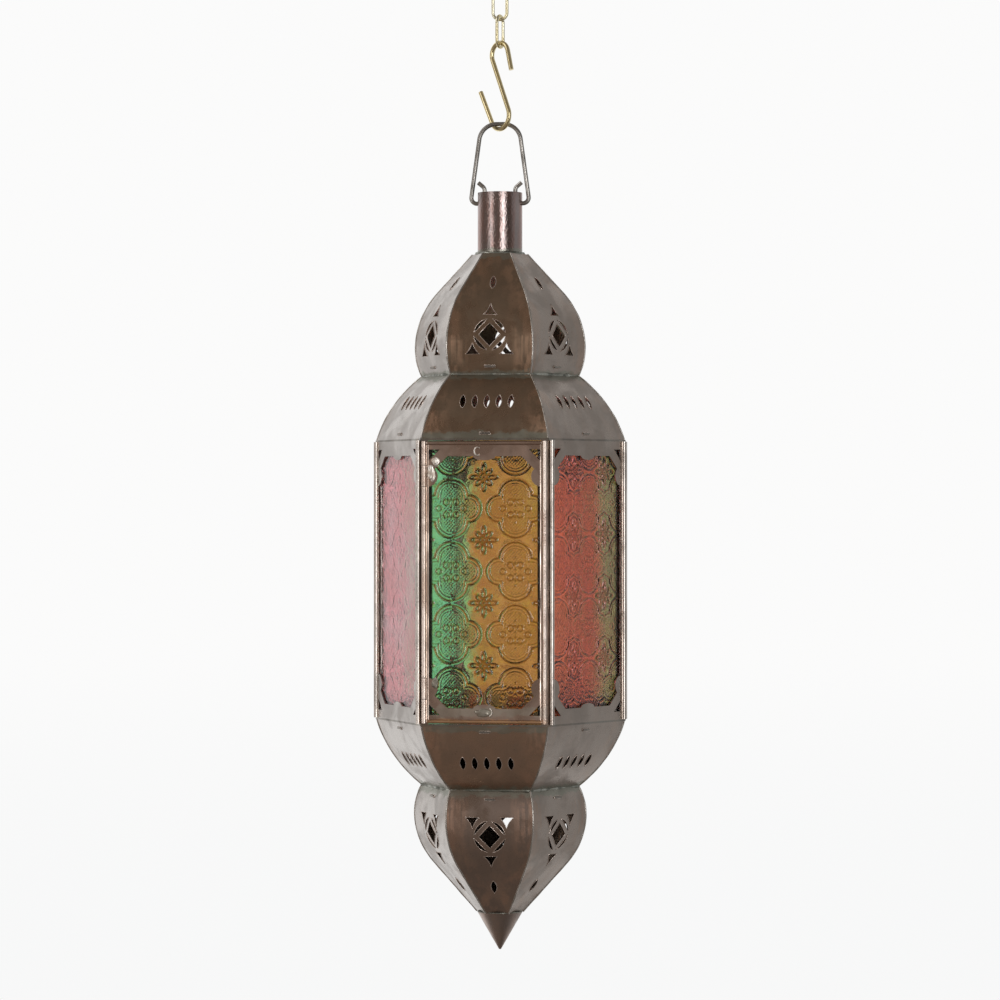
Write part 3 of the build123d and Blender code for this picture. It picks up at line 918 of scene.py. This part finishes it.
@dataclass(frozen=True)
class SolderBlob:
    """A flattened, lumpy blob of solder on the door's frame. Sizes are halves, in millimetres."""

    lumps: ClassVar[float] = 1.6
    swell: ClassVar[float] = 0.35
    thick: ClassVar[float] = 0.7
    reach: ClassVar[float] = 60.3

    name: str
    finish: Wire
    across: float
    level: float
    wide: float
    tall: float

    def build(self, material: Material) -> None:
        """Swell a sphere unevenly, flatten it and set it on the frame.

        Args:
            material: Finish of the solder.
        """
        deselect()
        bpy.ops.mesh.primitive_ico_sphere_add(subdivisions=4, radius=1.0)
        blob = bpy.context.object
        start = Vector((self.across, self.level, 0.0))
        for vertex in blob.data.vertices:
            vertex.co *= 1.0 + self.swell * noise.noise(vertex.co * self.lumps + start)
        bpy.ops.transform.resize(value=(self.wide * MM, self.thick * MM, self.tall * MM))
        bpy.ops.transform.translate(value=(self.across * MM, -self.reach * MM, self.level * MM))
        bpy.ops.object.transform_apply(location=True, rotation=True, scale=True)
        bpy.ops.object.shade_smooth()
        blob.name = blob.data.name = self.name
        settle(blob, "door", material)


@dataclass(frozen=True)
class WireLoop:
    """An open loop of wire soldered to the door. Its angles are in degrees, its sizes in millimetres."""

    count: ClassVar[int] = 20
    half_width: ClassVar[float] = 1.9
    half_height: ClassVar[float] = 2.2
    reach: ClassVar[float] = 60.5
    wire: ClassVar[float] = 0.5
    swell: ClassVar[float] = 0.3

    name: str
    across: float
    level: float
    start: float
    step: float

    def build(self, material: Material) -> None:
        """Bend the wire and set it on the frame.

        Args:
            material: Finish of the wire.
        """
        points = []
        for index in range(self.count):
            turn = math.radians(self.start + self.step * index)
            across = self.across + self.half_width * math.cos(turn)
            level = self.level + self.half_height * math.sin(turn)
            points.append((across * MM, -self.reach * MM, level * MM))
        settle(draw_bead(self.name, points, self.wire, self.swell), "door", material)


@dataclass
class PressedPane:
    """One pane of pressed glass with quatrefoil medallions and rosettes in relief, in millimetres."""

    oval_rise: ClassVar[float] = 6.6
    oval_radius: ClassVar[float] = 8.3
    lobe_aside: ClassVar[float] = 8.6
    lobe_radius: ClassVar[float] = 6.5
    dot_pitch: ClassVar[Span] = (1.7, 1.9)
    stem_levels: ClassVar[tuple[float, ...]] = (1.5, 4.7, 7.6)
    rosette_radius: ClassVar[float] = 8.4
    petal_turn: ClassVar[float] = math.pi / 4
    petal_reach: ClassVar[Span] = (7.6, 6.0)
    petal_width: ClassVar[float] = 1.3
    plain_margin: ClassVar[float] = 1.0

    face: Face
    glass: Glass
    node: str
    body: str = "lantern"
    half_width: float = 30.1
    bottom: float = -396.65
    top: float = -251.15
    front: float = 59.1
    back: float = 56.6
    relief: float = 0.55
    step: float = 0.45
    pitch_across: float = 34.6
    pitch_up: float = 33.6
    shift_across: float = -17.0
    shift_up: float = 0.0

    @property
    def middle(self) -> float:
        """Level of the pane's middle, in millimetres."""
        return 0.5 * (self.bottom + self.top)

    @staticmethod
    def ridge(distance: float, width: float) -> float:
        """Height of a rounded ridge at a distance from its line."""
        share = abs(distance) / width
        return 0.0 if share >= 1 else (1 - share * share) ** 2

    def medallion(self, across: float, up: float) -> float:
        """Height of a medallion's outlines and filling.

        Args:
            across: Distance from the medallion's middle, in millimetres.
            up: Height above its middle, in millimetres.

        Returns:
            The height as a share of the relief.
        """
        oval = math.hypot(across, max(abs(up) - self.oval_rise, 0.0)) - self.oval_radius
        lobe = math.hypot(abs(across) - self.lobe_aside, up) - self.lobe_radius
        whole = min(oval, lobe)
        height = max(self.ridge(whole - 0.6, 0.75), 0.6 * self.ridge(whole + 1.3, 0.6))
        if oval < 0 and abs(up) > 3.0:
            height = max(height, 0.45 * self.ridge(oval + 2.6, 0.5))
        if whole < -2.4:
            wide, tall = self.dot_pitch
            dots = math.cos(across * 2 * math.pi / wide) * math.cos(up * 2 * math.pi / tall)
            height = max(height, 0.2 + 0.32 * dots)
        stem = max(self.ridge(math.hypot(across, abs(up) - level), 1.15) for level in self.stem_levels)
        leaf = max(self.ridge(math.hypot(abs(across) - 2.6, abs(up) - 3.4) - 1.6, 0.7),
                   self.ridge(math.hypot(abs(across) - 6.8, up) - 1.5, 0.7))
        return max(height, 0.75 * stem, 0.7 * leaf)

    def rosette(self, across: float, up: float) -> float:
        """Height of an eight-petalled rosette between four medallions.

        Args:
            across: Distance from the rosette's middle, in millimetres.
            up: Height above its middle, in millimetres.

        Returns:
            The height as a share of the relief.
        """
        radius = math.hypot(across, up)
        if radius > self.rosette_radius:
            return 0.0
        turn = math.atan2(up, across)
        petal = round(turn / self.petal_turn)
        local = turn - petal * self.petal_turn
        reach = self.petal_reach[petal % 2]
        along = (radius * math.cos(local) - 0.6 * reach) / (0.4 * reach)
        aside = radius * math.sin(local) / self.petal_width
        return max(self.ridge(radius, 1.4), 0.9 * self.ridge(math.hypot(along, aside) - 0.8, 0.55))

    def height(self, across: float, up: float) -> float:
        """Height of the relief at a point of the pane.

        Args:
            across: Distance from the pane's middle line, in millimetres.
            up: Level, in millimetres.

        Returns:
            The height, in millimetres.
        """
        edge = min(self.half_width - abs(across), up - self.bottom, self.top - up)
        if edge < self.plain_margin:
            return 0.0
        u = across - self.shift_across
        v = up - self.middle - self.shift_up
        column, row = round(u / self.pitch_across), round(v / self.pitch_up)
        share = self.medallion(u - column * self.pitch_across, v - row * self.pitch_up)
        column, row = math.floor(u / self.pitch_across) + 0.5, math.floor(v / self.pitch_up) + 0.5
        share = max(share, self.rosette(u - column * self.pitch_across, v - row * self.pitch_up))
        return self.relief * min(share, 1.0)

    def press(self, mesh: bpy.types.Mesh) -> None:
        """Bring a slab of unit size to the pane's size and place, and raise the pattern on its front.

        Args:
            mesh: Mesh of the slab.
        """
        turn = Matrix.Rotation(self.face.turn, 3, "Z")
        shares = mesh.attributes.new(RELIEF_SHARE, "FLOAT", "POINT")
        for vertex in mesh.vertices:
            across = vertex.co.x * 2 * self.half_width
            up = self.middle + vertex.co.y * (self.top - self.bottom)
            on_back = vertex.co.z < -0.5
            raised = 0.0 if on_back else self.height(across, up)
            reach = self.back if on_back else self.front - self.relief + raised
            shares.data[vertex.index].value = raised / self.relief
            vertex.co = turn @ Vector((across, -reach, up)) * MM

    def build(self) -> None:
        """Press the pane and set it in its frame."""
        columns = round(2 * self.half_width / self.step)
        rows = round((self.top - self.bottom) / self.step)
        deselect()
        bpy.ops.mesh.primitive_grid_add(x_subdivisions=columns, y_subdivisions=rows, size=1.0)
        piece = bpy.context.object
        piece.name = piece.data.name = f"pressed_{self.node}"
        with editing(piece):
            bpy.ops.mesh.region_to_loop()
            bpy.ops.mesh.extrude_edges_move(TRANSFORM_OT_translate={"value": (0, 0, -1.0)})
            bpy.ops.mesh.edge_face_add()
        self.press(piece.data)
        face_outwards(piece)
        finish = self.glass.value
        settle(piece, self.body, finish.material(), self.node)


@dataclass(frozen=True)
class Arc:
    """Part of a panel's side line: a centre's reach and level, and a radius."""

    reach: float
    level: float
    radius: float

    def at(self, level: float) -> float:
        """Reach of the arc at a level, in millimetres."""
        return self.reach + math.sqrt(max(self.radius ** 2 - (level - self.level) ** 2, 0.0))


@dataclass
class SeamedRing:
    """A ring of six curved panels with a soldered seam at each corner, in millimetres."""

    seam_radius: ClassVar[float] = 0.5
    seam_inset: ClassVar[float] = 0.25
    seam_swell: ClassVar[float] = 0.3
    steps: ClassVar[int] = 1

    title: str
    waist: float

    def side_point(self, share: float) -> Span:
        """Give the reach and level of a panel's middle line.

        Args:
            share: Share of the way from the waist.

        Returns:
            Reach and level, in millimetres.
        """
        raise NotImplementedError

    def build(self, solder: Material) -> None:
        """Lay the soldered seams between the panels.

        Args:
            solder: Finish of the seams.
        """
        points = []
        for index in range(self.steps + 1):
            reach, level = self.side_point(index / self.steps)
            points.append(around(CORNER, reach / math.cos(CORNER) - self.seam_inset, level))
        first = draw_bead(self.title, points, self.seam_radius, self.seam_swell)
        rest = [turn_copy(first, face.turn) for face in Face if face is not Face.DOOR]
        settle(join([first, *rest], f"{self.title}_seams"), "lantern", solder)


@dataclass
class OnionRing(SeamedRing):
    """A ring of bulging petals that narrow to a throat, as the dome and the finial are.

    The arcs and the flank's ends are given by their rise from the waist.
    """

    steps: ClassVar[int] = 70

    up: int
    low: Arc
    high: Arc
    flank_start: Span
    flank_end: Span

    def side_point(self, share: float) -> Span:
        """Give the reach and level of a petal's middle line.

        Args:
            share: Share of the way from the waist.

        Returns:
            Reach and level, in millimetres.
        """
        rise = self.flank_end[0] * share
        if rise <= self.low.level:
            reach = self.low.at(rise)
        elif rise <= self.flank_start[0]:
            reach = self.high.at(rise)
        else:
            along = (rise - self.flank_start[0]) / (self.flank_end[0] - self.flank_start[0])
            reach = self.flank_start[1] + along * (self.flank_end[1] - self.flank_start[1])
        return reach, self.waist + self.up * rise


@dataclass
class CoveRing(SeamedRing):
    """A ring of curved panels between a waist and the glazed body."""

    steps: ClassVar[int] = 30

    edge: float
    arc: Arc

    def side_point(self, share: float) -> Span:
        """Give the reach and level of a panel's middle line.

        Args:
            share: Share of the way from the waist.

        Returns:
            Reach and level, in millimetres.
        """
        level = self.waist + (self.edge - self.waist) * share
        return self.arc.at(level), level


@dataclass
class HexBead:
    """A lumpy line of solder round the lantern, along a six-sided or round edge, in millimetres."""

    title: str
    finish: Wire
    level: float
    apothem: float
    radius: float
    swell: float
    pitch: float = 5.0
    round_edge: bool = False
    steps: int = 26

    def points(self) -> list[Point]:
        """Follow the edge once round.

        Returns:
            Points along it, in metres.
        """
        points = []
        for face in Face:
            for index in range(self.steps):
                turn = face.turn - CORNER + 2 * CORNER * index / self.steps
                reach = self.apothem
                if not self.round_edge:
                    turn = face.turn + math.atan((2 * index / self.steps - 1) * math.tan(CORNER))
                    reach = self.apothem / math.cos(turn - face.turn)
                points.append(around(turn, reach, self.level))
        return points

    def build(self, solder: Material) -> None:
        """Lay the solder.

        Args:
            solder: Finish of the solder.
        """
        bead = draw_bead(self.title, self.points(), self.radius, self.swell, True, self.pitch)
        settle(bead, "lantern", solder)


@dataclass
class PiercedRims:
    """Bright burred rims round the cuts of one kind of panel, in millimetres."""

    crease: ClassVar[float] = math.radians(40)
    least_outward: ClassVar[float] = 0.3

    panel: str
    wire: float = 0.22
    margin_side: float = 1.6
    margin_end: float = 1.2

    def keeps(self, middle: Vector, outward: float, span: Span) -> bool:
        """Whether an edge lies on the outer side of a cut.

        Args:
            middle: Middle of the edge.
            outward: How far the edge's faces look outwards, at most.
            span: Lowest and highest level of the panel, in metres.

        Returns:
            True for a cut's outer edge.
        """
        turn = abs(math.atan2(middle.x, -middle.y))
        seam = math.hypot(middle.x, middle.y) * math.sin(CORNER - turn)
        inside_ends = span[0] + self.margin_end * MM < middle.z < span[1] - self.margin_end * MM
        return outward > self.least_outward and seam > self.margin_side * MM and inside_ends

    def select_cuts(self, mesh: bpy.types.Mesh, span: Span) -> None:
        """Keep only the outer edges of the cuts selected.

        Args:
            mesh: Mesh of the panel, with its creases selected.
            span: Lowest and highest level of the panel, in metres.
        """
        looks: dict[tuple[int, int], float] = {}
        for polygon in mesh.polygons:
            for key in polygon.edge_keys:
                looks[key] = max(looks.get(key, -1.0), -polygon.normal.y)
        for edge in mesh.edges:
            first, second = (mesh.vertices[index].co for index in edge.vertices)
            kept = self.keeps((first + second) / 2, looks.get(edge.key, -1.0), span)
            edge.select = edge.select and kept

    def build(self, metal: Material) -> None:
        """Draw the rims of the door's panel and copy them round.

        Args:
            metal: Finish of the rims.
        """
        node = f"{self.panel}_{Face.DOOR.value}"
        low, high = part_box(node)
        piece = borrow_mesh(node)
        with editing(piece, everything=False):
            bpy.ops.mesh.select_all(action="DESELECT")
            bpy.ops.mesh.select_mode(type="EDGE")
            bpy.ops.mesh.edges_select_sharp(sharpness=self.crease)
        self.select_cuts(piece.data, (low[2], high[2]))
        with editing(piece, everything=False):
            bpy.ops.mesh.select_all(action="INVERT")
            bpy.ops.mesh.delete(type="EDGE")
            bpy.ops.mesh.select_all(action="SELECT")
            bpy.ops.mesh.delete(type="ONLY_FACE")
        bpy.ops.object.convert(target="CURVE")
        piece = bpy.context.object
        piece.data.bevel_depth = self.wire * MM
        piece.data.bevel_resolution = 1
        bpy.ops.object.convert(target="MESH")
        bpy.ops.object.shade_smooth()
        for face in reversed(Face):
            copy = piece if face is Face.DOOR else turn_copy(piece, face.turn)
            copy.name = copy.data.name = f"{self.panel}_rims_{face.value}"
            settle(copy, "lantern", metal)


@dataclass(frozen=True)
class Lamp:
    """A soft rectangular lamp, with its place and size in metres and its power in watts."""

    name: str
    place: Point
    size: Span
    power: float

    def hang(self, target: Vector) -> None:
        """Hang the lamp so that it faces a point.

        Args:
            target: Point to face.
        """
        deselect()
        bpy.ops.object.light_add(type="AREA", location=self.place)
        lamp = bpy.context.object
        lamp.name = self.name
        lamp.data.shape = "RECTANGLE"
        lamp.data.size, lamp.data.size_y = self.size
        lamp.data.energy = self.power
        aim = target - Vector(self.place)
        lamp.rotation_euler = aim.to_track_quat("-Z", "Y").to_euler()


@dataclass
class Studio:
    """Pale floor, soft studio world, three soft lamps and the camera."""

    sensor: ClassVar[float] = 36.0
    floor_size: ClassVar[float] = 40.0
    floor_tones: ClassVar[tuple[Color, Color]] = ((0.82, 0.82, 0.82), (0.86, 0.86, 0.86))
    floor_glow: ClassVar[Color] = (0.935, 0.938, 0.938)
    room_white: ClassVar[Color] = (1.0, 1.0, 1.0)
    room_dark: ClassVar[Color] = (0.22, 0.185, 0.16)
    room_fill: ClassVar[Color] = (0.72, 0.72, 0.72)

    azimuth: float = 8.0
    distance: float = 2.0
    height: float = -0.280
    frame_width: float = 0.549
    floor_level: float = -0.86
    white: Color = (0.965, 0.964, 0.962)
    lamps: tuple[Lamp, ...] = (
        Lamp("strip_lamp", (0.98, -2.19, -0.15), (0.72, 1.5), 14.0),
        Lamp("side_lamp", (-1.45, -1.80, -0.10), (0.70, 1.3), 5.5),
        Lamp("key_lamp", (-1.7, -0.9, 1.2), (1.4, 1.4), 9.0),
    )

    @staticmethod
    def seen(graph: Graph, rays: Outputs) -> Socket:
        """Mask of the rays that come from the camera, straight or through glass."""
        return graph.plus(rays["Is Camera Ray"], rays["Is Transmission Ray"], clamp=True)

    def lay_floor(self) -> None:
        """Lay a pale floor that fades to white and keeps the lantern's shadow."""
        deselect()
        bpy.ops.mesh.primitive_plane_add(size=self.floor_size, location=(0, 0, self.floor_level))
        floor = bpy.context.object
        floor.name = "floor"
        material, graph, shader, place = start_material("floor_white")
        tone = graph.fade(graph.cloud(place, 3.0, 2.0), 0.3, 0.7)
        graph.feed(shader, {"Base Color": graph.mix(tone, *self.floor_tones), "Roughness": 0.9})
        seen = self.seen(graph, graph.add("ShaderNodeLightPath").outputs)
        away = graph.add("ShaderNodeVectorMath", operation="LENGTH")
        graph.put(place, away.inputs[0])
        glow = graph.add("ShaderNodeEmission")
        far = graph.fade(away.outputs["Value"], 1.5, 12.0)
        graph.put(graph.mix(far, self.floor_glow, self.white), glow.inputs["Color"])
        blend = graph.add("ShaderNodeMixShader")
        plain = graph.fade(away.outputs["Value"], 0.5, 1.5, 0.9, 1.0)
        graph.put(graph.times(seen, plain), blend.inputs[0])
        graph.put(shader.outputs[0], blend.inputs[1])
        graph.put(glow.outputs[0], blend.inputs[2])
        graph.put(blend.outputs[0], material.node_tree.nodes["Material Output"].inputs["Surface"])
        floor.data.materials.append(material)
        floor.visible_glossy = False

    def light_world(self) -> None:
        """Make a white studio whose camera side is dark, as metal shows it."""
        world = bpy.data.worlds.new("studio")
        world.use_nodes = True
        bpy.context.scene.world = world
        graph = Graph(world.node_tree)
        x, y, z = graph.split(graph.add("ShaderNodeTexCoord").outputs["Generated"])
        front = graph.lift(graph.times(y, -0.99), x, -0.30)
        steep = graph.fade(graph.math("ABSOLUTE", z), 0.58, 0.88)
        dark = graph.math("MAXIMUM", graph.fade(front, -0.42, 0.30), steep)
        room = graph.mix(dark, self.room_white, self.room_dark)
        side = graph.fade(x, -0.35, 0.92, 1.0, 0.44)
        room = graph.mix(1.0, room, side, "MULTIPLY")
        rays = graph.add("ShaderNodeLightPath").outputs
        color = graph.mix(rays["Is Glossy Ray"], self.room_fill, room)
        color = graph.mix(self.seen(graph, rays), color, self.white)
        graph.feed(world.node_tree.nodes["Background"], {"Color": color, "Strength": 1.0})

    def set_camera(self) -> None:
        """Stand the camera where the photograph was taken."""
        turn = math.radians(self.azimuth)
        place = Vector((math.sin(turn) * self.distance, -math.cos(turn) * self.distance, self.height))
        deselect()
        bpy.ops.object.camera_add(location=place)
        camera = bpy.context.object
        camera.rotation_euler = (math.pi / 2, 0.0, turn)
        camera.data.sensor_width = self.sensor
        camera.data.lens = self.sensor * self.distance / self.frame_width
        bpy.context.scene.camera = camera

    def build(self) -> None:
        """Set up the whole studio."""
        bpy.context.scene.view_settings.view_transform = "Standard"
        self.lay_floor()
        self.light_world()
        for lamp in self.lamps:
            lamp.hang(Vector((0, 0, self.height)))
        self.set_camera()


@dataclass
class Lantern:
    """All of the lantern's pieces, in the order in which they are dressed."""

    panes: tuple[PressedPane, ...] = (
        PressedPane(Face.DOOR, Glass.AMBER, "door_glass", "door", front=59.4, back=56.9, pitch_across=34.3,
                    shift_across=-17.8, shift_up=5.8),
        PressedPane(Face.FRONT_RIGHT, Glass.RED, "glass_pane_2", pitch_across=27.2, shift_across=3.1,
                    shift_up=8.9),
        PressedPane(Face.BACK_RIGHT, Glass.GREEN, "glass_pane_3"),
        PressedPane(Face.BACK, Glass.ORANGE, "glass_pane_4"),
        PressedPane(Face.BACK_LEFT, Glass.EMERALD, "glass_pane_5"),
        PressedPane(Face.FRONT_LEFT, Glass.ROSE, "glass_pane_6", relief=0.12),
    )
    rings: tuple[SeamedRing, ...] = (
        OnionRing("dome", UPPER_WAIST, 1, low=Arc(2.474, 15.1, 38.326), high=Arc(-8.942, 15.1, 49.742),
                  flank_start=(46.20, 29.878), flank_end=(66.8, 13.374)),
        CoveRing("shoulder", UPPER_WAIST, edge=-247.15, arc=Arc(-8.277, -265.077, 70.108)),
        CoveRing("skirt", LOWER_WAIST, edge=-400.65, arc=Arc(-10.583, -382.511, 72.392)),
        OnionRing("finial", LOWER_WAIST, -1, low=Arc(6.072, 15.4, 35.178), high=Arc(-2.779, 15.4, 44.029),
                  flank_start=(42.386, 32.011), flank_end=(69.2, 11.212)),
    )
    edges: tuple[HexBead, ...] = (
        HexBead("upper_waist_solder", Wire.SMEAR, UPPER_WAIST, apothem=37.2, radius=1.1, swell=0.6),
        HexBead("lower_waist_solder", Wire.SMEAR, LOWER_WAIST, apothem=37.2, radius=1.1, swell=0.6),
        HexBead("neck_solder", Wire.SMEAR, -145.1, apothem=12.6, radius=1.0, swell=0.6, pitch=4.0,
                round_edge=True, steps=14),
        HexBead("cone_solder", Wire.SMEAR, -505.6, apothem=12.0, radius=0.45, swell=0.4, pitch=4.0,
                round_edge=True, steps=14),
        HexBead("frame_top_solder", Wire.SEAM, -247.6, apothem=59.4, radius=0.5, swell=0.4),
        HexBead("frame_foot_solder", Wire.SEAM, -400.2, apothem=59.4, radius=0.5, swell=0.4),
    )
    door_blobs: tuple[SolderBlob, ...] = (
        SolderBlob("door_solder_1", Wire.DOOR_BRIGHT, across=-26.3, level=-259.4, wide=2.0, tall=2.4),
        SolderBlob("door_solder_2", Wire.DOOR_BRIGHT, across=-28.6, level=-266.0, wide=2.0, tall=4.2),
        SolderBlob("door_solder_3", Wire.DOOR_DULL, across=-26.6, level=-377.8, wide=1.8, tall=3.0),
        SolderBlob("door_solder_4", Wire.DOOR_DULL, across=-0.5, level=-393.4, wide=4.6, tall=2.0),
    )
    door_loops: tuple[WireLoop, ...] = (
        WireLoop("door_clip", across=-3.5, level=-254.0, start=50, step=13),
        WireLoop("door_catch", across=2.2, level=-393.2, start=-75, step=8),
    )

    def dress_sheets(self) -> None:
        """Give the panels, posts, frames, plates and neck their sheet finishes."""
        lit_tones = {tone: tone.value.material() for tone in LitSheetTone}
        frames = {tone: tone.value.framed().material() for tone in dict.fromkeys(LIT_TONES.values())}
        # Painted light: each face's panels and pane frame take the paler or darker sheet copy that stands for
        # that face's light.
        for face, tone in LIT_TONES.items():
            for panel in PANELS:
                own = DOOR_LOWER_LIT_TONES.get(panel, tone) if face is Face.DOOR else tone
                dress_node(f"{panel}_{face.value}", lit_tones[own])
            if face is not Face.DOOR:
                dress_node(f"pane_frame_{face.value}", frames[tone])
            dress_node(f"corner_post_{face.value}", lit_tones[LitSheetTone.TAUPE])
        singles = {finish: finish.material() for finish in dict.fromkeys(SINGLE_SHEETS.values())}
        for node, finish in SINGLE_SHEETS.items():
            dress_node(node, singles[finish])

    def dress_hardware(self, wires: dict[Wire, Material]) -> None:
        """Give the chain, the hook, the bail and the hinge pin their wire finishes.

        Args:
            wires: Material of each kind of wire.
        """
        dress_node("door_hinge_pin", wires[Wire.BAIL])
        for node, body, wire in HANGERS:
            dress_node(node, wires[wire])
            smooth_copy(node, body, wires[wire])

    def solder_seams(self, wires: dict[Wire, Material]) -> None:
        """Lay the seams and the solder along the edges, and rim the cuts.

        Args:
            wires: Material of each kind of wire.
        """
        for ring in self.rings:
            ring.build(wires[Wire.SEAM])
        for edge in self.edges:
            edge.build(wires[edge.finish])
        for panel in PANELS:
            PiercedRims(panel).build(wires[Wire.RIM])

    def mend_door(self, wires: dict[Wire, Material]) -> None:
        """Set the solder blobs, the clip and the catch on the door's frame.

        Args:
            wires: Material of each kind of wire.
        """
        for blob in self.door_blobs:
            blob.build(wires[blob.finish])
        for loop in self.door_loops:
            loop.build(wires[Wire.DOOR_BRIGHT])

    def build(self) -> None:
        """Dress the whole lantern."""
        wires = {wire: wire.value.material() for wire in Wire}
        self.dress_sheets()
        self.dress_hardware(wires)
        for pane in self.panes:
            pane.build()
        self.solder_seams(wires)
        self.mend_door(wires)


def main() -> None:
    """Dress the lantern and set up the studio."""
    logging.basicConfig(level=logging.INFO, format="%(message)s")
    Lantern().build()
    Studio().build()


if __name__ == "__main__":
    main()
